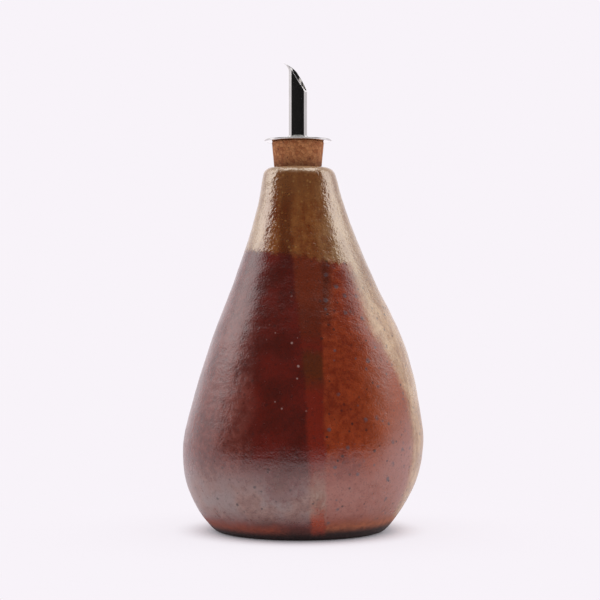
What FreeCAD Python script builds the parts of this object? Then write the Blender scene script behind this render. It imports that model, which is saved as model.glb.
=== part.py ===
import FreeCAD, Part
import math
import os
import Sketcher

# Stoneware oil cruet with a cork pourer: a thrown, glazed pot, a tapered cork in its mouth,
# and a steel pour tube that goes through the cork and carries a flange and an air tube.
# The origin is the middle of the foot, on the table, with +Z up and +X to the side that the
# thrown wall leans to. Lengths are millimetres and angles are degrees.

SIZES = {
    # Pot, from the foot up: the radius of each level, its rise above the level below it and
    # how far its middle leans to +X
    "wall": 5.0,
    "floor_thickness": 7.0,
    "foot_radius": 36.6,
    "foot_round": 3.0,
    "heel_radius": 44.9,
    "heel_rise": 5.3,
    "heel_lean": 0.0,
    "belly_radius": 50.9,
    "belly_rise": 23.0,
    "belly_lean": 1.4,
    "flank_radius": 47.8,
    "flank_rise": 19.6,
    "flank_lean": 2.4,
    "side_radius": 40.6,
    "side_rise": 25.5,
    "side_lean": 3.0,
    "shoulder_radius": 29.6,
    "shoulder_rise": 25.6,
    "shoulder_lean": 1.9,
    "neck_radius": 20.2,
    "neck_rise": 25.5,
    "neck_lean": 0.7,
    "collar_radius": 16.9,
    "collar_rise": 12.0,
    "collar_lean": 0.1,
    "lip_wall": 4.7,
    "lip_lean": -0.5,
    "mouth_lean": -0.9,
    "lip_round": 2.8,
    "mouth_round": 1.0,
    # Tapered cork, and the seat that it has in the mouth
    "seat_depth": 10.0,
    "seat_clearance": 0.1,
    "cork_top_radius": 11.1,
    "cork_bottom_radius": 8.73,
    "cork_length": 25.4,
    "cork_proud": 11.3,
    "cork_edge": 0.5,
    # Pour tube, cut on a slant, with its tip bent out; the cut flattens along the tip
    "pour_direction": 163.0,
    "spout_radius": 4.0,
    "spout_wall": 0.5,
    "spout_tail": 10.0,
    "spout_rise": 20.0,
    "turning_clearance": 0.05,
    "bend_rise": 8.8,
    "bend_radius": 8.5,
    "tip_lean": 45.0,
    "cut_rise": 10.9,
    "cut_lean": 31.0,
    "tip_cut_lean": 16.0,
    # Flange with a drawn sleeve, soldered round the tube on top of the cork
    "flange_radius": 14.5,
    "flange_thickness": 0.8,
    "flange_edge": 0.3,
    "sleeve_wall": 0.5,
    "sleeve_height": 1.6,
    "sleeve_fillet": 1.0,
    "solder_gap": 0.05,
    # Air tube inside the pour tube, along its tip side
    "breather_radius": 1.25,
    "breather_wall": 0.3,
    "breather_tail": 16.0,
    "breather_inset": 3.0,
}

# Levels of the pot between its floor and its collar, from the foot up
POT_LEVELS = ("heel", "belly", "flank", "side", "shoulder", "neck")

# Heights above the table
NECK_HEIGHT = " + ".join(["sizes.floor_thickness"] + [f"sizes.{level}_rise" for level in POT_LEVELS])
SEAT_HEIGHT = f"{NECK_HEIGHT} + sizes.collar_rise"
LIP_HEIGHT = f"{SEAT_HEIGHT} + sizes.seat_depth"
CORK_TOP_HEIGHT = f"{LIP_HEIGHT} + sizes.cork_proud"

# The seat has the cork's own taper
CORK_TAPER = "(sizes.cork_top_radius - sizes.cork_bottom_radius) / sizes.cork_length"
MOUTH_RADIUS = f"sizes.cork_top_radius - {CORK_TAPER} * sizes.cork_proud + sizes.seat_clearance"
THROAT_RADIUS = f"{MOUTH_RADIUS} - {CORK_TAPER} * sizes.seat_depth"

# Heights from the top of the cork, where the cork and the pourer have their own origin
CORK_BOTTOM = "-sizes.cork_length"
SPOUT_BOTTOM = f"{CORK_BOTTOM} - sizes.spout_tail"
BREATHER_BOTTOM = f"{SPOUT_BOTTOM} - sizes.breather_tail"
CUT_LOW = "sizes.flange_thickness + sizes.spout_rise"
BEND_START = f"{CUT_LOW} + sizes.bend_rise"
BREATHER_TOP = f"{CUT_LOW} - sizes.breather_inset"

# The tube runs on this many of its radii past the bend, and the cut this many past the tube
TIP_RUN = 10
CUT_REACH = 40

# Largest share of the wall beside it that a rounding may take
LIP_SHARE = 0.6
MOUTH_SHARE = 0.3
RIM_SHARE = 0.45
SLEEVE_SHARE = 0.9

doc = FreeCAD.newDocument("oil_cruet")
sheet = doc.addObject("Spreadsheet::Sheet", "sizes")
for row, (alias, value) in enumerate(SIZES.items(), start=1):
    sheet.set(f"A{row}", str(value))
    sheet.setAlias(f"A{row}", alias)
doc.recompute()


def new_body(label):
    """A sub-part, with the name of its file."""
    body = doc.addObject("PartDesign::Body", label)
    body.Label = label
    return body


def attach(item, body, role, height="0", lean="0"):
    """Lay a sketch or a primitive on one of its body's own planes."""
    plane = next(feature for feature in body.Origin.OriginFeatures if feature.Role == role)
    item.AttachmentSupport = [(plane, "")]
    item.MapMode = "FlatFace"
    item.setExpression("AttachmentOffset.Base.x", lean)
    item.setExpression("AttachmentOffset.Base.z", height)


def primitive(body, kind, name, height, lean="0", **sizes):
    """A cylinder or cone, added or subtracted, that stands upright from a height."""
    item = body.newObject(f"PartDesign::{kind}", name)
    attach(item, body, "XY_Plane", height, lean)
    for size, expression in sizes.items():
        item.setExpression(size, expression)


def hold(sketch, kind, expression, *where):
    """A sketch dimension with its size from the sheet."""
    value = sheet.evalExpression(expression)
    index = sketch.addConstraint(Sketcher.Constraint(kind, *where, value))
    sketch.setExpression(f"Constraints[{index}]", expression)


def level_circles(body, name, radii, height, lean="0"):
    """A level sketch of circles about one middle."""
    sketch = body.newObject("Sketcher::SketchObject", name)
    attach(sketch, body, "XY_Plane", height, lean)
    for radius in radii:
        circle = Part.Circle(FreeCAD.Vector(), FreeCAD.Vector(0, 0, 1), sheet.evalExpression(radius))
        index = sketch.addGeometry(circle)
        sketch.addConstraint(Sketcher.Constraint("Coincident", index, 3, -1, 1))
        hold(sketch, "Radius", radius, index)
    return sketch


def loft(body, kind, name, sections):
    """A skin through level sections, from the lowest up."""
    item = body.newObject(f"PartDesign::{kind}", name)
    item.Profile = sections[0]
    item.Sections = sections[1:]


def level_edges(body, height):
    """Names of the edges that lie level at a height, the shortest first."""
    doc.recompute()
    level = sheet.evalExpression(height)
    found = []
    for index, edge in enumerate(body.Tip.Shape.Edges, start=1):
        box = edge.BoundBox
        if math.isclose(box.ZMin, level, abs_tol=1e-4) and math.isclose(box.ZMax, level, abs_tol=1e-4):
            found.append((edge.Length, f"Edge{index}"))
    return [name for length, name in sorted(found)]


def round_off(body, name, edges, radius):
    """A fillet on edges of the body's last feature."""
    base = body.Tip
    item = body.newObject("PartDesign::Fillet", name)
    item.Base = (base, edges)
    item.setExpression("Radius", radius)


def stand_on_cork(body, direction=None):
    """Put a body's origin at the middle of the cork's top, turned to face a direction."""
    if direction:
        body.Placement = FreeCAD.Placement(FreeCAD.Vector(), FreeCAD.Rotation(FreeCAD.Vector(0, 0, 1), 1))
        body.setExpression("Placement.Rotation.Angle", direction)
    body.setExpression("Placement.Base.x", "sizes.mouth_lean")
    body.setExpression("Placement.Base.z", CORK_TOP_HEIGHT)


def make_bottle_body():
    """The thrown pot: a wall through level rings, hollow above its floor, open at the lip."""
    body = new_body("bottle_body")
    height = "sizes.floor_thickness"
    outside = [level_circles(body, "foot_outside", ["sizes.foot_radius"], "0")]
    inside = [level_circles(body, "floor_inside", ["sizes.foot_radius - sizes.wall"], height)]
    for level in POT_LEVELS:
        radius = f"sizes.{level}_radius"
        lean = f"sizes.{level}_lean"
        height = f"{height} + sizes.{level}_rise"
        outside.append(level_circles(body, f"{level}_outside", [radius], height, lean))
        inside.append(level_circles(body, f"{level}_inside", [f"{radius} - sizes.wall"], height, lean))
    lean = "sizes.collar_lean"
    outside.append(level_circles(body, "collar_outside", ["sizes.collar_radius"], SEAT_HEIGHT, lean))
    lip_radius = f"{MOUTH_RADIUS} + sizes.lip_wall"
    outside.append(level_circles(body, "lip_outside", [lip_radius], LIP_HEIGHT, "sizes.lip_lean"))
    lean = "sizes.mouth_lean"
    inside.append(level_circles(body, "throat_inside", [THROAT_RADIUS], SEAT_HEIGHT, lean))
    loft(body, "AdditiveLoft", "thrown_wall", outside)
    loft(body, "SubtractiveLoft", "hollow", inside)
    primitive(body, "SubtractiveCone", "cork_seat", SEAT_HEIGHT, lean,
              Radius1=THROAT_RADIUS, Radius2=MOUTH_RADIUS, Height="sizes.seat_depth")
    round_off(body, "lip_rounding", level_edges(body, LIP_HEIGHT)[-1:],
              f"min(sizes.lip_round; {LIP_SHARE} * sizes.lip_wall)")
    round_off(body, "mouth_rounding", level_edges(body, LIP_HEIGHT)[:1],
              f"min(sizes.mouth_round; {MOUTH_SHARE} * sizes.lip_wall)")
    round_off(body, "foot_rounding", level_edges(body, "0"), "sizes.foot_round")
    return body


def make_cork_stopper():
    """The tapered cork, bored for the pour tube."""
    body = new_body("cork_stopper")
    stand_on_cork(body)
    primitive(body, "AdditiveCone", "taper", CORK_BOTTOM, Height="sizes.cork_length",
              Radius1="sizes.cork_bottom_radius", Radius2="sizes.cork_top_radius")
    edges = level_edges(body, "0") + level_edges(body, CORK_BOTTOM)
    round_off(body, "worn_edges", edges, "sizes.cork_edge")
    primitive(body, "SubtractiveCylinder", "bore", CORK_BOTTOM, Height="sizes.cork_length",
              Radius="sizes.spout_radius + sizes.turning_clearance")
    return body


def make_spout_tube():
    """The pour tube: straight through the cork, bent out at the tip and cut on a slant."""
    body = new_body("spout_tube")
    stand_on_cork(body, "sizes.pour_direction")
    bore = "sizes.spout_radius - sizes.spout_wall"
    ring = level_circles(body, "tube_ring", ["sizes.spout_radius", bore], SPOUT_BOTTOM)

    # Middle line: upright, then an arc towards +X, then straight on past the cut
    bottom = FreeCAD.Vector(0, sheet.evalExpression(SPOUT_BOTTOM))
    bend = FreeCAD.Vector(0, sheet.evalExpression(BEND_START))
    radius = sheet.evalExpression("sizes.bend_radius")
    lean = math.radians(sheet.evalExpression("sizes.tip_lean"))
    circle = Part.Circle(bend + FreeCAD.Vector(radius, 0), FreeCAD.Vector(0, 0, 1), radius)
    arc_end = circle.Center + FreeCAD.Vector(-math.cos(lean), math.sin(lean)) * radius
    tip_run = f"{TIP_RUN} * sizes.spout_radius"
    end = arc_end + FreeCAD.Vector(math.sin(lean), math.cos(lean)) * sheet.evalExpression(tip_run)
    path = body.newObject("Sketcher::SketchObject", "middle_line")
    attach(path, body, "XZ_Plane")
    upright = path.addGeometry(Part.LineSegment(bottom, bend))
    arc = path.addGeometry(Part.ArcOfCircle(circle, math.pi - lean, math.pi))
    tip = path.addGeometry(Part.LineSegment(arc_end, end))
    path.addConstraint(Sketcher.Constraint("PointOnObject", upright, 1, -2))
    path.addConstraint(Sketcher.Constraint("Vertical", upright))
    path.addConstraint(Sketcher.Constraint("Tangent", upright, 2, arc, 2))
    path.addConstraint(Sketcher.Constraint("Tangent", arc, 1, tip, 1))
    hold(path, "DistanceY", SPOUT_BOTTOM, -1, 1, upright, 1)
    hold(path, "DistanceY", BEND_START, -1, 1, upright, 2)
    hold(path, "Radius", "sizes.bend_radius", arc)
    hold(path, "Angle", "sizes.tip_lean * 1 deg", arc)
    hold(path, "Distance", tip_run, tip)
    tube = body.newObject("PartDesign::AdditivePipe", "bent_tube")
    tube.Profile = ring
    tube.Spine = (path, ["Edge1", "Edge2", "Edge3"])

    # Slanted cut: from the low side up to a corner, then flatter, past the tip and round above
    reach = f"{CUT_REACH} * sizes.spout_radius"
    slant = "sizes.cut_lean"
    flat = "(sizes.tip_lean + sizes.tip_cut_lean)"
    near = f"-sizes.spout_radius - {reach} * sin({slant})"
    corner = f"-sizes.spout_radius + sizes.cut_rise * tan({slant})"
    top = f"{CUT_LOW} + sizes.cut_rise + {reach} * cos({flat})"
    corners = (
        (near, f"{CUT_LOW} - {reach} * cos({slant})"),
        (corner, f"{CUT_LOW} + sizes.cut_rise"),
        (f"{corner} + {reach} * sin({flat})", top),
        (near, top),
    )
    outline = body.newObject("Sketcher::SketchObject", "cut_outline")
    attach(outline, body, "XZ_Plane")
    points = [FreeCAD.Vector(sheet.evalExpression(x), sheet.evalExpression(z)) for x, z in corners]
    lines = [outline.addGeometry(Part.LineSegment(points[i - 1], points[i])) for i in range(len(points))]
    for index, (x, z) in enumerate(corners):
        outline.addConstraint(Sketcher.Constraint("Coincident", lines[index - 1], 2, lines[index], 1))
        hold(outline, "DistanceX", x, -1, 1, lines[index], 2)
        hold(outline, "DistanceY", z, -1, 1, lines[index], 2)
    cut = body.newObject("PartDesign::Pocket", "slanted_cut")
    cut.Profile = outline
    cut.SideType = "Symmetric"
    cut.Type = "ThroughAll"
    return body


def make_flange_disc():
    """The thin round flange, with a sleeve drawn up round the tube."""
    body = new_body("flange_disc")
    stand_on_cork(body, "sizes.pour_direction")
    bore = "sizes.spout_radius + sizes.solder_gap"
    primitive(body, "AdditiveCylinder", "flange", "0",
              Radius="sizes.flange_radius", Height="sizes.flange_thickness")
    edges = level_edges(body, "0") + level_edges(body, "sizes.flange_thickness")
    round_off(body, "rim_rounding", edges,
              f"min(sizes.flange_edge; {RIM_SHARE} * sizes.flange_thickness)")
    primitive(body, "AdditiveCylinder", "sleeve", "0", Radius=f"{bore} + sizes.sleeve_wall",
              Height="sizes.flange_thickness + sizes.sleeve_height")
    round_off(body, "sleeve_root", level_edges(body, "sizes.flange_thickness")[:1],
              f"min(sizes.sleeve_fillet; {SLEEVE_SHARE} * sizes.sleeve_height)")
    primitive(body, "SubtractiveCylinder", "bore", "0", Radius=bore,
              Height="sizes.flange_thickness + sizes.sleeve_height")
    return body


def make_breather_tube():
    """The air tube, soldered along the tip side of the pour tube's bore."""
    body = new_body("breather_tube")
    stand_on_cork(body, "sizes.pour_direction")
    length = f"{BREATHER_TOP} - ({BREATHER_BOTTOM})"
    beside = "sizes.spout_radius - sizes.spout_wall - sizes.solder_gap - sizes.breather_radius"
    primitive(body, "AdditiveCylinder", "outside", BREATHER_BOTTOM, beside,
              Radius="sizes.breather_radius", Height=length)
    primitive(body, "SubtractiveCylinder", "bore", BREATHER_BOTTOM, beside,
              Radius="sizes.breather_radius - sizes.breather_wall", Height=length)
    return body


sub_parts = [
    make_bottle_body(),
    make_cork_stopper(),
    make_spout_tube(),
    make_flange_disc(),
    make_breather_tube(),
]
doc.recompute()

# Nothing is written unless every object is sound
for item in doc.Objects:
    if "Invalid" in item.State or "Error" in item.State:
        raise RuntimeError(f"{item.Name} failed: {item.State}")
for part in sub_parts:
    if part.Shape.isNull() or not part.Shape.isValid() or len(part.Shape.Solids) != 1:
        raise RuntimeError(f"{part.Label} is not one sound solid")

os.makedirs("parts", exist_ok=True)
for part in sub_parts:
    part.Shape.exportStep(f"parts/{part.Label}.step")
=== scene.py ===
import math

import bmesh
import bpy
from mathutils import Matrix, Vector, noise
from mathutils.geometry import interpolate_bezier


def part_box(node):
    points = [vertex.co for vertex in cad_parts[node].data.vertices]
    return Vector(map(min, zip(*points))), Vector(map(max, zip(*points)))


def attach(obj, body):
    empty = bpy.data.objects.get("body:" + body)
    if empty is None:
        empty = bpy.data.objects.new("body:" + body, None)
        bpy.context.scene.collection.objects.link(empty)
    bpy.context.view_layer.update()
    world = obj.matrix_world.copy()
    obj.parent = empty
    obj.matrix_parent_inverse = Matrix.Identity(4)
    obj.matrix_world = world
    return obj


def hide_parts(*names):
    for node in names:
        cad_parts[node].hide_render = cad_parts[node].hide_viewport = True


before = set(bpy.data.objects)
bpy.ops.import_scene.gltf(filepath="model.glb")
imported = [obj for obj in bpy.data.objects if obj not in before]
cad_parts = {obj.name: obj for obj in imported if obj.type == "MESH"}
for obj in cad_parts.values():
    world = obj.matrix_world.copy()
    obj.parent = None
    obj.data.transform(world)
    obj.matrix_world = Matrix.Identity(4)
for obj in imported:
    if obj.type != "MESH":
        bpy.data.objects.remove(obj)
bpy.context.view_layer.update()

# Pot: stoneware thrown on a wheel as one piece, so its wall is a little out of true and keeps
# soft finger rings. Each side was dipped in a glaze of its own, then the neck and the right
# shoulder in a third, and the foot was wiped bare before the firing.
MM = 0.001

# The pot's section from the middle of the foot up to the lip, and from the lip down to the
# middle of the floor: radius, lean to the right and height of each knot, in millimetres
POT_OUTSIDE = (
    (0, 0, 0),
    (31, -0.1, 0),
    (33.4, -0.1, 0),
    (35.6, -0.1, 0.4),
    (37.4, -0.1, 1.8),
    (38.9, -0.1, 3.5),
    (41.1, -0.2, 6.3),
    (44.9, 0, 12.3),
    (48.4, 0.4, 20),
    (50.9, 1.4, 35.3),
    (47.8, 2.4, 54.9),
    (40.6, 3, 80.4),
    (29.6, 1.9, 106),
    (20.2, 0.7, 131.5),
    (16.9, 0.1, 143.5),
    (15.7, -0.2, 149.2),
    (14.7, -0.4, 152),
    (12.7, -0.5, 153.5),
)
POT_INSIDE = (
    (11.2, -0.8, 153.5),
    (10.3, -0.9, 152.8),
    (10, -0.9, 151.4),
    (9.5, -0.9, 146),
    (9.3, -0.9, 143.6),
    (12.6, 0.1, 138.6),
    (15.2, 0.7, 131.5),
    (24.6, 1.9, 106),
    (35.6, 3, 80.4),
    (42.8, 2.4, 54.9),
    (45.9, 1.4, 35.3),
    (42.4, 0.2, 16),
    (36.5, -0.1, 9),
    (31, 0, 7.1),
    (26, 0, 7),
    (0, 0, 7),
)
SECTION_STEP = 0.8
POT_SEGMENTS = 180
WELD = 0.00001

# How far the wall is out of true, how tall or wide each kind of unevenness is, and how much a
# finger ring changes on its way round
WOBBLE = 0.25
WOBBLE_HEIGHT = 45
RING_DEPTH = 0.07
RING_HEIGHT = 3.4
RING_CHANGE = 1.3
DENT_DEPTH = 0.13
DENT_SIZE = 9

# Heights between which the unevenness sets in above the foot and dies away below the mouth
ABOVE_FOOT = (4, 16)
BELOW_MOUTH = (138, 143)


def drawn_line(knots, step):
    """Points of a smooth line through knots, about a step apart, with the first and last knots."""
    knots = [Vector(knot) for knot in knots]
    headings = []
    for index, knot in enumerate(knots):
        before = knot - knots[max(index - 1, 0)]
        after = knots[min(index + 1, len(knots) - 1)] - knot
        heading = before.normalized() * after.length + after.normalized() * before.length
        headings.append(heading.normalized())
    headings[0] = (knots[1] - knots[0]).normalized()
    headings[-1] = (knots[-1] - knots[-2]).normalized()
    points = [knots[0]]
    for index, (start, end) in enumerate(zip(knots, knots[1:])):
        length = (end - start).length
        steps = max(round(length / step), 1)
        reach = length / 3
        points += interpolate_bezier(start, start + headings[index] * reach,
                                     end - headings[index + 1] * reach, end, steps + 1)[1:]
    return points


def eased(value, low, high):
    """0 below low, 1 above high and an even slope between them that starts and ends level."""
    share = min(max((value - low) / (high - low), 0), 1)
    return share * share * (3 - 2 * share)


def turn_line(shape, verts, segments):
    """Join a line of a shape's verts by edges, and turn it about the upright axis."""
    edges = [shape.edges.new(pair) for pair in zip(verts, verts[1:])]
    bmesh.ops.spin(shape, geom=verts + edges, cent=(0, 0, 0), axis=(0, 0, 1), angle=math.tau,
                   steps=segments, use_merge=True)
    bmesh.ops.remove_doubles(shape, verts=shape.verts, dist=WELD)
    bmesh.ops.recalc_face_normals(shape, faces=shape.faces)


def finished(name, shape, *materials):
    """A shape as a smooth object of the scene, with its materials."""
    for face in shape.faces:
        face.smooth = True
    mesh = bpy.data.meshes.new(name)
    shape.to_mesh(mesh)
    shape.free()
    for material in materials:
        mesh.materials.append(material)
    item = bpy.data.objects.new(name, mesh)
    bpy.context.scene.collection.objects.link(item)
    return item


class Field:
    """One output of a shader node. Arithmetic on it adds Math nodes to its own node tree."""

    def __init__(self, tree, output=None):
        self.tree = tree
        self.output = output

    def node(self, kind, settings=None, inputs=None, output=0):
        """A new node: its settings are set first, then the values or links of its sockets."""
        item = self.tree.nodes.new(kind)
        for name, value in (settings or {}).items():
            if name == "stops":
                ends = item.color_ramp.elements
                ends[0].position, ends[0].color = value[0]
                ends[1].position, ends[1].color = value[-1]
                for position, colour in value[1:-1]:
                    ends.new(position).color = colour
            else:
                setattr(item, name, value)
        for name, value in (inputs or {}).items():
            if isinstance(value, Field):
                self.tree.links.new(value.output, item.inputs[name])
            else:
                item.inputs[name].default_value = value
        return Field(self.tree, item.outputs[output] if item.outputs else None)

    def other(self, output):
        """Another output of the same node."""
        return Field(self.tree, self.output.node.outputs[output])

    def math(self, operation, *values):
        """The outcome of an operation on values."""
        return self.node("ShaderNodeMath", {"operation": operation}, dict(enumerate(values)))

    def __add__(self, value):
        return self.math("ADD", self, value)

    def __radd__(self, value):
        return self.math("ADD", value, self)

    def __sub__(self, value):
        return self.math("SUBTRACT", self, value)

    def __rsub__(self, value):
        return self.math("SUBTRACT", value, self)

    def __mul__(self, value):
        return self.math("MULTIPLY", self, value)

    def __truediv__(self, value):
        return self.math("DIVIDE", self, value)

    def larger(self, value):
        return self.math("MAXIMUM", self, value)

    def smaller(self, value):
        return self.math("MINIMUM", self, value)

    def eased(self, low, high):
        """0 below low and 1 above high, or the other way round where low is the higher."""
        return self.node("ShaderNodeMapRange", {"interpolation_type": "SMOOTHSTEP"},
                         {"Value": self, "From Min": low, "From Max": high})

    def mix(self, first, second):
        """The first colour where this is 0, the second where it is 1."""
        return self.node("ShaderNodeMix", {"data_type": "RGBA"}, {0: self, 6: first, 7: second}, 2)

    def stretched(self, x, y, z):
        """A place with its axes scaled, so that a pattern on it is drawn out."""
        return self.node("ShaderNodeVectorMath", {"operation": "MULTIPLY"}, {0: self, 1: (x, y, z)})

    def grain(self, size, detail=2):
        """Cloudy noise from 0 to 1 at a place, with lumps of a size."""
        return self.node("ShaderNodeTexNoise", {},
                         {"Vector": self, "Scale": 1 / size, "Detail": detail})

    def cells(self, size, feature="F1"):
        """Distance to the nearest of many scattered points, as a share of their spacing."""
        return self.node("ShaderNodeTexVoronoi", {"feature": feature},
                         {"Vector": self, "Scale": 1 / size})

    def specks(self, spacing, share, radius):
        """1 on round specks that a share of scattered points have, 0 elsewhere."""
        near = self.cells(spacing)
        chance = near.node("ShaderNodeSeparateColor", {}, {"Color": near.other("Color")})
        growth = chance.other("Green") * 0.5 + 0.5
        inside = (near * spacing / growth).eased(radius, radius * 0.5)
        return inside * chance.eased(1 - share - 0.01, 1 - share)

    def bumped(self):
        """A normal from this height in millimetres."""
        return self.node("ShaderNodeBump", {}, {"Height": self, "Distance": MM, "Strength": 1})

    def shader(self, **sockets):
        """A shader with these values or links in its sockets."""
        return self.node("ShaderNodeBsdfPrincipled", {},
                         {name.replace("_", " "): value for name, value in sockets.items()})


def new_finish(name):
    """A material, and the place in it in millimetres, as the object has it."""
    material = bpy.data.materials.new(name)
    material.use_nodes = True
    material.node_tree.nodes.clear()
    place = Field(material.node_tree).node("ShaderNodeTexCoord", output="Object")
    place = place.node("ShaderNodeVectorMath", {"operation": "SCALE"}, {0: place, "Scale": 1 / MM})
    return material, place


def surface(shader):
    """End a material in a shader."""
    shader.node("ShaderNodeOutputMaterial", {}, {"Surface": shader})


def tint(red, green, blue):
    """A colour from the 0 to 255 that screens show, as the shaders take it."""
    shown = (red / 255, green / 255, blue / 255)
    shades = [part / 12.92 if part < 0.04 else ((part + 0.055) / 1.055) ** 2.4 for part in shown]
    return (*shades, 1)


def dipped_glaze():
    """The outside: a maroon side, a rust side, a band where they overlap and a gold neck."""
    material, place = new_finish("dipped_glaze")
    x = place.node("ShaderNodeSeparateXYZ", {}, {0: place})
    y = x.other("Y")
    z = x.other("Z")
    sway = place.grain(14) - 0.5
    fray = place.grain(1.7, 3) - 0.5
    cloud = place.grain(11, 3)
    streak = place.stretched(1, 1, 0.16).grain(3.2, 3)
    mottle = place.grain(2.6, 4)
    fine = place.grain(0.8)

    # Where each dip ends, where the foot is bare, and where shade is painted along the foot's lowest
    # edge
    neck = (z + x * 0.13 + sway * 3 + fray * 4).eased(114, 117)
    shoulder = (x + y + z.larger(56).smaller(85) * 0.75 + sway * 6 + fray * 5).eased(59.5, 70.5)
    gold = neck.larger(shoulder)
    drip = (streak - 0.5) * 3 + fray
    band = (x + z * 0.03 + z * z * 0.00033 + sway * 1.5 + drip).eased(3.6, 6)
    rust = (x + z * 0.018 + sway * 1.2 + drip).eased(9.6, 11.6)
    bare = (z + sway * 4 + drip * 0.8 - rust * 2).eased(8.5, 3.5)
    painted_foot_shade = (z - rust * 1.2 + fray * 0.5).eased(5, 1.5)

    # The maroon side, which browns towards the left, and the rust side
    maroon_side = cloud.eased(0.35, 0.65).mix(tint(84, 20, 7), tint(103, 23, 8))
    smoke = (x + sway * 10).eased(-16, -27)
    ashen = (cloud + mottle).eased(0.75, 1.25).mix(tint(98, 38, 28), tint(128, 64, 52))
    maroon_side = smoke.mix(maroon_side, ashen)
    rust_side = (cloud * 0.3 + mottle * 0.35 + fine * 0.35).eased(0.4, 0.6)
    rust_side = rust_side.mix(tint(119, 37, 6), tint(153, 58, 12))
    rust_side = ((x + sway * 8).eased(18, 40) * 0.6).mix(rust_side, tint(168, 83, 35))

    # The band between them changes with the height, up to where the neck covers it
    band_top = 120
    up = (z + sway * 6 + fray * 5) / band_top
    band_side = up.node("ShaderNodeValToRGB", {"stops": (
        (0.0, tint(164, 66, 28)),
        (0.09, tint(160, 60, 24)),
        (0.25, tint(126, 31, 6)),
        (0.49, tint(122, 29, 5)),
        (0.57, tint(96, 40, 7)),
        (0.62, tint(96, 39, 7)),
        (0.655, tint(112, 26, 5)),
        (0.7, tint(104, 33, 5)),
        (0.77, tint(102, 34, 7)),
        (0.82, tint(114, 41, 9)),
    )}, {0: up})
    colour = rust.mix(band.mix(maroon_side, band_side), rust_side)

    # A dark seam where the rust side starts under the neck
    seam = rust * (x + z * 0.018 + sway * 2).eased(17, 12) * (z + fray * 6).eased(80, 98)
    colour = (seam * 0.6).mix(colour, tint(53, 26, 15))

    # A pale dry bloom above the foot, partly real ash and partly a painted reflection of the white
    # table, with a clear patch to the left of the band
    aside = (x + 6) / 8
    above = (z - 23) / 7
    patch = (aside * aside + above * above + sway * 3 + fray * 3).eased(1.6, 0.2)
    below = (z - rust * 2 + sway * 6 - (x - 28).larger(0) * 1.4).eased(36, 16)
    clear_of_foot = (z + drip - band * (1 - rust) * 4).eased(4, 14)
    bloom_and_table_reflection = below * clear_of_foot * (1 - patch * 0.45)
    bloom_and_table_reflection = bloom_and_table_reflection * ((cloud + mottle).eased(0.7, 1.15) * 0.4 + 0.6)
    ash_and_table_reflection = cloud.eased(0.4, 0.62).mix(tint(158, 124, 112), tint(148, 126, 120))
    band_bloom_and_reflection = streak.eased(0.35, 0.6).mix(tint(142, 104, 86), tint(166, 142, 125))
    bloom_and_reflection_colour = rust.mix(band.mix(ash_and_table_reflection, band_bloom_and_reflection), tint(163, 105, 90))
    colour = bloom_and_table_reflection.mix(colour, bloom_and_reflection_colour)

    # The neck, with a dark run left of its middle, fine gilt specks, straw sides palest on the right
    # shoulder, partly a painted sheen of the side lights, and a pale lip, where the glaze is thin and
    # a highlight of the overhead light is painted
    neck_side = (streak + mottle * 0.4 + fine * 0.6).eased(0.75, 1.25)
    neck_side = neck_side.mix(tint(122, 58, 20), tint(153, 94, 44))
    run = (x + 6 + sway * 2).eased(-4, -1) * (x + 6 + sway * 2).eased(4, 1)
    neck_side = (run * 0.7).mix(neck_side, tint(93, 38, 8))
    neck_side = (z.eased(132, 148) * 0.7).mix(neck_side, tint(134, 84, 43))
    gilt = place.specks(1.7, 0.7, 0.75) * mottle.eased(0.3, 0.6)
    neck_side = (gilt * 0.4).mix(neck_side, tint(188, 142, 80))
    # The sides are painted paler than the front: the straw glaze, and partly a painted sheen of the
    # side lights
    left_edge = (x - (z - 123) * 0.17).eased(-13, -19)
    pale_and_sheen = x.eased(4, 18).larger(left_edge).larger(y.eased(-2, 12))
    blotch = (streak + mottle + cloud).eased(1.2, 1.8)
    straw_and_sheen = blotch.mix(tint(143, 103, 63), tint(175, 145, 104))
    palest_straw_and_sheen = blotch.mix(tint(178, 136, 92), tint(216, 182, 138))
    straw_and_sheen = (z.eased(112, 88) * y.eased(16, -8)).mix(straw_and_sheen, palest_straw_and_sheen)
    neck_side = (pale_and_sheen * 0.8).mix(neck_side, straw_and_sheen)
    # Painted pale at the lip: glaze thinning over the rim, and a painted highlight of the overhead
    # light
    neck_side = ((z + fray * 2).eased(150, 152.5) * 0.8).mix(neck_side, tint(186, 152, 114))
    colour = gold.mix(colour, neck_side)

    # Iron specks, plainest on the rust side and on the bloom with its painted table reflection,
    # blue-grey spots on the rust side and pale pinholes beside the band
    colour = (fine.eased(0.5, 0.75) * 0.35).mix(colour, tint(40, 18, 12))
    iron = place.specks(3, 0.5, 0.95) * (1 - neck * 0.6)
    iron = iron * (rust.larger(bloom_and_table_reflection) * 0.5 + 0.5)
    colour = (iron * mottle.eased(0.25, 0.6) * 0.8).mix(colour, tint(40, 26, 26))
    spots = place.specks(3.9, 0.55, 1.45) * rust * (1 - gold)
    colour = (spots * mottle.eased(0.3, 0.55) * 0.75).mix(colour, tint(86, 76, 80))
    pinholes = place.specks(3.1, 0.4, 0.75) * x.eased(-16, -8) * (1 - band)
    pinholes = pinholes * z.eased(45, 58) * z.eased(106, 95) * fray.eased(-0.15, 0.1)
    colour = (pinholes * 0.7).mix(colour, tint(182, 152, 142))

    # The bare clay of the foot, smudged dark to the left of the band, with painted shade along its
    # lowest edge where it meets the table
    clay = rust.mix(band.mix(tint(155, 68, 38), tint(159, 56, 24)), tint(179, 101, 61))
    clay = (mottle.eased(0.35, 0.65) * 0.35).mix(clay, tint(79, 29, 17))
    smudge = (x + sway * 12 + fray * 4).eased(-12, -2) * (1 - band)
    clay = (smudge * 0.8).mix(clay, tint(65, 28, 23))
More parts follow.
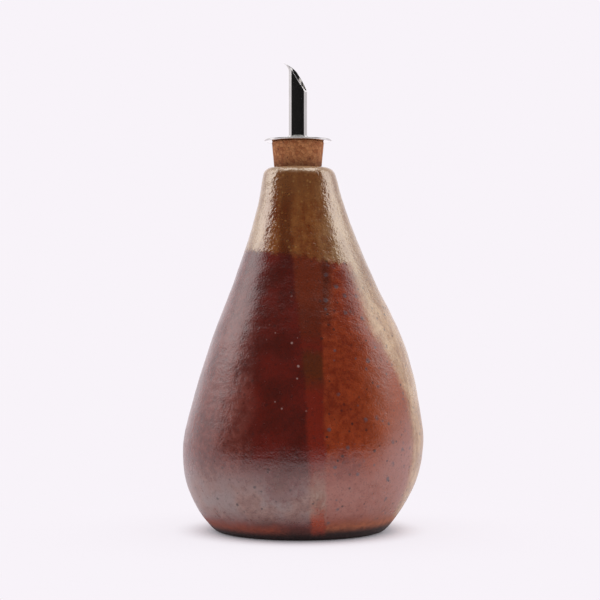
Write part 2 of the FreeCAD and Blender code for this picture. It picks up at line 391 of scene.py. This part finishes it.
    # Painted shade: the foot's lowest few millimetres turn near black where they meet the table
    colour = painted_foot_shade.mix(bare.mix(colour, clay), tint(45, 20, 13))

    # Each dip adds its thickness, and the neck's is the most pebbled
    rings = place.stretched(0.3, 0.3, 1).grain(4.5)
    height = rings * 0.22 + mottle * 0.13 + fine * 0.11
    height = height + gold * (place.grain(1.5) * 0.2 + 0.08) + band * 0.05 + rust * 0.05
    normal = height.bumped()

    # The neck's glaze has a metal lustre, which thins out down the shoulder
    rough = 0.25 + (mottle - 0.5) * 0.14 + bloom_and_table_reflection * 0.08 + bare * 0.4
    plain = place.shader(Base_Color=colour, Roughness=rough, Normal=normal, IOR=1.7)
    lustre = place.shader(Base_Color=colour, Roughness=rough * 0.5, Normal=normal, IOR=2.8,
                          Specular_Tint=tint(255, 246, 232))
    shine = gold * (z.eased(84, 128) * 0.85 + 0.1)
    surface(place.node("ShaderNodeMixShader", {}, {0: shine, 1: plain, 2: lustre}))
    return material


def liner_glaze():
    """The inside: one plain brown glaze, poured in and out."""
    material, place = new_finish("liner_glaze")
    cloud = place.grain(6, 4)
    colour = cloud.eased(0.3, 0.7).mix(tint(72, 46, 32), tint(104, 70, 48))
    normal = (place.grain(1.5, 3) * 0.05).bumped()
    surface(place.shader(Base_Color=colour, Roughness=cloud * 0.1 + 0.2, Normal=normal))
    return material


def thrown_pot():
    """The pot with its finger rings and its slight lean, lined inside."""
    section = drawn_line(POT_OUTSIDE + POT_INSIDE, SECTION_STEP)
    lip = section.index(Vector(POT_OUTSIDE[-1]))
    pot = bmesh.new()
    lean = pot.verts.layers.float.new("lean")
    lined = pot.verts.layers.int.new("lined")
    verts = []
    for index, point in enumerate(section):
        vert = pot.verts.new((point.x * MM, 0, point.z * MM))
        vert[lean] = point.y * MM
        vert[lined] = index > lip
        verts.append(vert)
    turn_line(pot, verts, POT_SEGMENTS)
    for face in pot.faces:
        face.material_index = all(vert[lined] for vert in face.verts)
    for vert in pot.verts:
        height = vert.co.z / MM
        around = math.atan2(vert.co.y, vert.co.x)
        out = Vector((math.cos(around), math.sin(around), 0))
        wobble = noise.noise(out + Vector((0, 0, height / WOBBLE_HEIGHT)))
        ring = noise.noise(out * RING_CHANGE + Vector((0, 0, height / RING_HEIGHT)))
        dent = noise.noise(vert.co / MM / DENT_SIZE)
        uneven = WOBBLE * wobble + RING_DEPTH * ring + DENT_DEPTH * dent
        uneven = uneven * eased(height, *ABOVE_FOOT) * (1 - eased(height, *BELOW_MOUTH))
        vert.co += out * uneven * MM
        vert.co.x += vert[lean]
    return pot


pot = finished("pot", thrown_pot(), dipped_glaze(), liner_glaze())
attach(pot, "bottle")
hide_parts("bottle_body")

# Cork: a tapered stopper pressed from cork granules and ground to size, with a bore for the
# pour tube. It sits in the mouth by its taper alone.
cork_low, cork_high = (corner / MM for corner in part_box("cork_stopper"))
CORK_TOP_RADIUS = 11.1
CORK_BOTTOM_RADIUS = 8.73
CORK_BORE = 4.05
CORK_EDGE = 0.6
CORK_STEP = 0.5
CORK_SEGMENTS = 120
CORK_PITS = 0.07
CORK_PIT_SCALE = 0.9
MOUTH_MIDDLE = (cork_low + cork_high) / 2


def spun(line, segments):
    """A shape turned about the upright axis from a line of radii and heights in millimetres."""
    shape = bmesh.new()
    verts = [shape.verts.new((point[0] * MM, 0, point[-1] * MM)) for point in line]
    turn_line(shape, verts, segments)
    return shape


def moved_to_mouth(shape):
    """Move a shape from the origin to the middle of the mouth."""
    bmesh.ops.translate(shape, verts=shape.verts, vec=(MOUTH_MIDDLE.x * MM, MOUTH_MIDDLE.y * MM, 0))
    return shape


def ground_cork():
    """The taper with worn edges and a bore, its skin a little pitted."""
    low = cork_low.z
    high = cork_high.z
    flare = (CORK_TOP_RADIUS - CORK_BOTTOM_RADIUS) / (high - low)
    line = drawn_line((
        (CORK_BORE, 0, high),
        (CORK_TOP_RADIUS - 2 * CORK_EDGE, 0, high),
        (CORK_TOP_RADIUS - CORK_EDGE, 0, high - CORK_EDGE * 0.05),
        (CORK_TOP_RADIUS - CORK_EDGE * 0.25, 0, high - CORK_EDGE * 0.4),
        (CORK_TOP_RADIUS - CORK_EDGE * flare, 0, high - CORK_EDGE),
        (CORK_TOP_RADIUS - CORK_EDGE * flare * 2, 0, high - CORK_EDGE * 2),
        (CORK_BOTTOM_RADIUS + CORK_EDGE * flare * 2, 0, low + CORK_EDGE * 2),
        (CORK_BOTTOM_RADIUS + CORK_EDGE * flare, 0, low + CORK_EDGE),
        (CORK_BOTTOM_RADIUS - CORK_EDGE * 0.25, 0, low + CORK_EDGE * 0.4),
        (CORK_BOTTOM_RADIUS - CORK_EDGE, 0, low + CORK_EDGE * 0.05),
        (CORK_BOTTOM_RADIUS - 2 * CORK_EDGE, 0, low),
        (CORK_BORE, 0, low),
    ), CORK_STEP)
    cork = spun(line + [Vector((CORK_BORE, 0, high))], CORK_SEGMENTS)
    for vert in cork.verts:
        out = Vector((vert.co.x, vert.co.y, 0))
        if out.length > (CORK_BORE + CORK_EDGE) * MM:
            pit = abs(noise.noise(vert.co / MM * CORK_PIT_SCALE)) * CORK_PITS
            vert.co -= out.normalized() * pit * MM
    return moved_to_mouth(cork)


def pressed_cork():
    """Granules of several browns, with dark bark flecks and fine pits, and painted shade lower down,
    towards the lip.
    """
    material, place = new_finish("pressed_cork")
    granule = place.cells(1.5)
    shade = place.node("ShaderNodeSeparateColor", {}, {"Color": granule.other("Color")})
    gap = place.cells(1.5, "DISTANCE_TO_EDGE").eased(0.1, 0.02)
    dust = place.grain(0.5, 3)
    tone = (shade * 0.55 + dust * 0.45).eased(0.15, 0.85)
    colour = tone.mix(tint(164, 94, 49), tint(203, 137, 85))
    colour = (place.specks(2.2, 0.4, 0.6) * 0.6).mix(colour, tint(74, 32, 17))
    colour = (gap * 0.3).mix(colour, tint(101, 52, 27))
    height = place.node("ShaderNodeSeparateXYZ", {}, {0: place}).other("Z")
    # Painted shade: the cork is darker lower down, where it goes into the lip
    colour = ((height + dust * 2).eased(162, 152) * 0.5).mix(colour, tint(84, 42, 22))
    normal = (dust * 0.06 - gap * 0.08 + shade * 0.04).bumped()
    surface(place.shader(Base_Color=colour, Roughness=0.78 + dust * 0.15, Normal=normal))
    return material


cork = finished("cork", ground_cork(), pressed_cork())
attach(cork, "stopper")
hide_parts("cork_stopper")

# Pour tube: drawn steel tube pushed through the cork, cut on a slant and its tip curled out so
# that the oil leaves it cleanly. It is polished all over.
tube_low, tube_high = (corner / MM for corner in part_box("spout_tube"))
POUR_DIRECTION = math.radians(163)
TUBE_RADIUS = 4
TUBE_WALL = 0.5
TUBE_SEGMENTS = 96
TUBE_STEP = 0.4
CUT_LOW = 185.6
CUT_LEAN = math.radians(31)
CURL_START = 194.2
CURL_RADIUS = 3.9
RIM_ROUND = 0.12


def stood_on_cork(shape):
    """Turn a shape to the pour direction and move it to the middle of the mouth."""
    turn = Matrix.Rotation(POUR_DIRECTION, 3, "Z")
    bmesh.ops.rotate(shape, verts=shape.verts, cent=(0, 0, 0), matrix=turn)
    return moved_to_mouth(shape)


def cut_tube():
    """A tube with a slanted mouth, its rim rounded and its tip curled towards +X."""
    bore = TUBE_RADIUS - TUBE_WALL
    top = tube_high.z + 2 * TUBE_RADIUS
    steps = round((top - tube_low.z) / TUBE_STEP)
    levels = [tube_low.z + (top - tube_low.z) * step / steps for step in range(steps + 1)]
    line = [(bore, level) for level in reversed(levels)] + [(TUBE_RADIUS, level) for level in levels]
    tube = spun(line, TUBE_SEGMENTS)
    slant = Vector((-math.cos(CUT_LEAN), 0, math.sin(CUT_LEAN)))
    bmesh.ops.bisect_plane(tube, geom=tube.verts[:] + tube.edges[:] + tube.faces[:],
                           plane_co=(-TUBE_RADIUS * MM, 0, CUT_LOW * MM), plane_no=slant,
                           clear_outer=True)
    rims = [edge for edge in tube.edges if edge.is_boundary]
    bmesh.ops.bridge_loops(tube, edges=rims)
    bmesh.ops.recalc_face_normals(tube, faces=tube.faces)
    bmesh.ops.bevel(tube, geom=rims, offset=RIM_ROUND * MM, offset_type="OFFSET", affect="EDGES",
                    segments=3, profile=0.5, material=-1)
    for vert in tube.verts:
        past = vert.co.z - CURL_START * MM
        if past > 0:
            vert.co.x += past * past / (2 * CURL_RADIUS * MM)
    return stood_on_cork(tube)


def polished_steel():
    """Bright steel with faint smears and hairline scratches from wiping."""
    material, place = new_finish("polished_steel")
    smear = place.grain(3, 3)
    hair = place.stretched(1, 1, 6).grain(0.7, 2)
    colour = smear.mix(tint(206, 204, 200), tint(219, 217, 214))
    rough = 0.06 + smear.eased(0.4, 0.8) * 0.06 + hair * 0.03
    normal = (hair * 0.0015).bumped()
    surface(place.shader(Base_Color=colour, Roughness=rough, Metallic=1, Normal=normal))
    return material


steel = polished_steel()
tube = finished("pour_tube", cut_tube(), steel)
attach(tube, "pourer")
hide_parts("spout_tube")

# Flange: a thin steel disc that caps the cork, with a short sleeve drawn up round the tube's
# root and soldered to it.
flange_low, flange_high = (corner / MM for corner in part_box("flange_disc"))
FLANGE_RADIUS = 14.5
FLANGE_THICKNESS = 0.8
FLANGE_BORE = 4.05
FLANGE_EDGE = 0.3
FLANGE_RIM = 1
RIM_DROP = 0.02
FLANGE_STEP = 0.12
FLANGE_SEGMENTS = 144

# The sleeve's round root, as distances from the sleeve and heights above the disc, its taper,
# and its rounded top, which is highest a little way out from the bore
SLEEVE_RADIUS = 4.55
SLEEVE_ROOT = ((2.2, 0), (1.4, 0), (0.3, 0.3), (0, 1))
SLEEVE_TAPER = 0.05
SLEEVE_TOP_ROUND = 0.15
SLEEVE_CROWN = 0.2


def pressed_flange():
    """The disc with a rolled edge, and its sleeve with a round root."""
    low = flange_low.z
    top = low + FLANGE_THICKNESS
    high = flange_high.z
    line = drawn_line((
        (FLANGE_BORE, 0, low),
        (FLANGE_RADIUS - FLANGE_RIM, 0, low),
        (FLANGE_RADIUS - FLANGE_EDGE, 0, low + RIM_DROP),
        (FLANGE_RADIUS, 0, low + FLANGE_THICKNESS / 2),
        (FLANGE_RADIUS - FLANGE_EDGE, 0, top - RIM_DROP),
        (FLANGE_RADIUS - FLANGE_RIM, 0, top),
        *((SLEEVE_RADIUS + out, 0, top + rise) for out, rise in SLEEVE_ROOT),
        (SLEEVE_RADIUS - SLEEVE_TAPER, 0, high - SLEEVE_TOP_ROUND),
        (FLANGE_BORE + SLEEVE_CROWN, 0, high),
        (FLANGE_BORE, 0, high - SLEEVE_TOP_ROUND),
    ), FLANGE_STEP)
    return stood_on_cork(spun(line + [line[0]], FLANGE_SEGMENTS))


flange = finished("flange", pressed_flange(), steel)
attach(flange, "pourer")
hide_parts("flange_disc")

# Air tube: a thin steel tube soldered along the tip side of the pour tube's bore. It lets air
# into the pot behind the oil.
air_low, air_high = (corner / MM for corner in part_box("breather_tube"))
AIR_RADIUS = 1.25
AIR_WALL = 0.3
AIR_RIM_ROUND = AIR_WALL / 3
AIR_SEGMENTS = 48
SOLDER_GAP = 0.05
AIR_BESIDE = TUBE_RADIUS - TUBE_WALL - SOLDER_GAP - AIR_RADIUS


def thin_tube():
    """A straight tube with rounded rims, to one side of the middle."""
    bore = AIR_RADIUS - AIR_WALL
    low = air_low.z
    high = air_high.z
    line = [(bore, low), (AIR_RADIUS, low), (AIR_RADIUS, high), (bore, high)]
    shape = spun(line + line[:1], AIR_SEGMENTS)
    rims = []
    for edge in shape.edges:
        start, end = (vert.co for vert in edge.verts)
        if abs(start.z - end.z) < WELD and abs(start.xy.length - end.xy.length) < WELD:
            rims.append(edge)
    bmesh.ops.bevel(shape, geom=rims, offset=AIR_RIM_ROUND * MM, offset_type="OFFSET", affect="EDGES",
                    segments=2, profile=0.5, material=-1)
    bmesh.ops.translate(shape, verts=shape.verts, vec=(AIR_BESIDE * MM, 0, 0))
    return stood_on_cork(shape)


air_tube = finished("air_tube", thin_tube(), steel)
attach(air_tube, "pourer")
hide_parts("breather_tube")

# Table: a white top, painted dark towards the camera as shade standing in for the room beyond its
# front edge, which shows in the glaze. Away from the pot it fades into the backdrop, so that it has
# no edge in the picture.
TABLE_FRONT = -0.5
TABLE_BACK = 1.2
TABLE_HALF_WIDTH = 1
BACKDROP = tint(248, 243, 249)


def table_white():
    """Matt white that darkens towards the camera, which sees the backdrop's colour further out."""
    material, place = new_finish("table_white")
    away = place.node("ShaderNodeVectorMath", {"operation": "LENGTH"}, {0: place}, "Value")
    seen = place.node("ShaderNodeLightPath", output="Is Camera Ray")
    back = place.node("ShaderNodeSeparateXYZ", {}, {0: place}).other("Y")
    # Painted shade: the matt colour turns dark grey towards the camera, for the glaze to mirror
    colour = back.eased(-330, -170).mix(tint(60, 58, 60), tint(246, 243, 247))
    matt = place.node("ShaderNodeBsdfDiffuse", {}, {"Color": colour})
    plain = place.node("ShaderNodeEmission", {}, {"Color": BACKDROP})

    # The shade round the foot gives way to the backdrop, first steeply and then slowly
    faded = away.eased(33, 56) * 0.75 + away.eased(60, 160) * 0.15 + 0.1
    surface(place.node("ShaderNodeMixShader", {}, {0: seen * faded, 1: matt, 2: plain}))
    return material


table_top = bmesh.new()
bmesh.ops.create_grid(table_top, x_segments=1, y_segments=1, size=1)
bmesh.ops.scale(table_top, verts=table_top.verts,
                vec=(TABLE_HALF_WIDTH, (TABLE_BACK - TABLE_FRONT) / 2, 1))
bmesh.ops.translate(table_top, verts=table_top.verts, vec=(0, (TABLE_BACK + TABLE_FRONT) / 2, 0))
finished("table", table_top, table_white())

# Studio: a white room with a large soft light on each side and one overhead. It lights matt
# surfaces evenly, while glaze and steel mirror its open, dark front.
LIGHT_AIM = Vector((0, 0, 0.09))


def studio_room():
    """Walls that the camera sees as plain white, with a dark front that only reflections show."""
    world = bpy.data.worlds.new("studio")
    world.use_nodes = True
    world.node_tree.nodes.clear()
    start = Field(world.node_tree)
    direction = start.node("ShaderNodeTexCoord", output="Generated")
    right = direction.node("ShaderNodeSeparateXYZ", {}, {0: direction})
    back = right.other("Y")
    up = right.other("Z")

    # Reflections: dark in front, dimmer overhead and to the right, and brightest straight behind
    wall = (back + right.smaller(0) * 0.1).eased(-0.24, -0.02)
    wall = wall * (1 - up.eased(0.3, 0.65) * 0.35) + 0.015
    wall = wall * (1 - right * 0.12)
    wall = wall * (1 - back.eased(0.1, 0.5) * 0.25 + back.eased(0.5, 0.9) * 0.45)

    # Matt surfaces get the even light, and the camera sees a strength of 1
    even = wall.smaller(1) * 0.35 + 0.6
    seen = start.node("ShaderNodeLightPath", output="Is Camera Ray")
    strength = even + seen.other("Is Glossy Ray") * (wall - even)
    strength = strength + seen * (1 - strength)
    light = start.node("ShaderNodeBackground", {}, {"Color": BACKDROP, "Strength": strength})
    start.node("ShaderNodeOutputWorld", {}, {"Surface": light})
    return world


def soft_light(name, azimuth, elevation, distance, width, height, radiance):
    """A soft light of an even radiance, aimed at the pot. Azimuth 0 is at the camera."""
    lamp = bpy.data.lights.new(name, "AREA")
    lamp.shape = "RECTANGLE"
    lamp.size = width
    lamp.size_y = height
    lamp.energy = radiance * math.pi * width * height
    item = bpy.data.objects.new(name, lamp)
    azimuth = math.radians(azimuth)
    elevation = math.radians(elevation)
    level = math.cos(elevation)
    away = Vector((math.sin(azimuth) * level, -math.cos(azimuth) * level, math.sin(elevation)))
    item.location = LIGHT_AIM + away * distance
    item.rotation_euler = away.to_track_quat("Z", "Y").to_euler()
    item.visible_camera = False
    bpy.context.scene.collection.objects.link(item)


bpy.context.scene.world = studio_room()
soft_light("left_light", azimuth=-108, elevation=32, distance=0.9, width=0.55, height=0.55,
           radiance=1.25)
soft_light("right_light", azimuth=104, elevation=30, distance=0.9, width=0.55, height=0.5,
           radiance=1.25)
soft_light("top_light", azimuth=0, elevation=86, distance=1.1, width=1.3, height=0.75, radiance=1.5)

# Camera: level, in front of the pot, with the photograph's angle of view
CAMERA_PLACE = (0, -0.723, 0.0975)
CAMERA_VIEW = math.radians(20)
CAMERA_NEAR = 0.01

camera = bpy.data.objects.new("camera", bpy.data.cameras.new("camera"))
camera.data.angle = CAMERA_VIEW
camera.data.clip_start = CAMERA_NEAR
camera.location = CAMERA_PLACE
camera.rotation_euler = (math.pi / 2, 0, 0)
bpy.context.scene.collection.objects.link(camera)
bpy.context.scene.camera = camera
bpy.context.scene.view_settings.view_transform = "Standard"
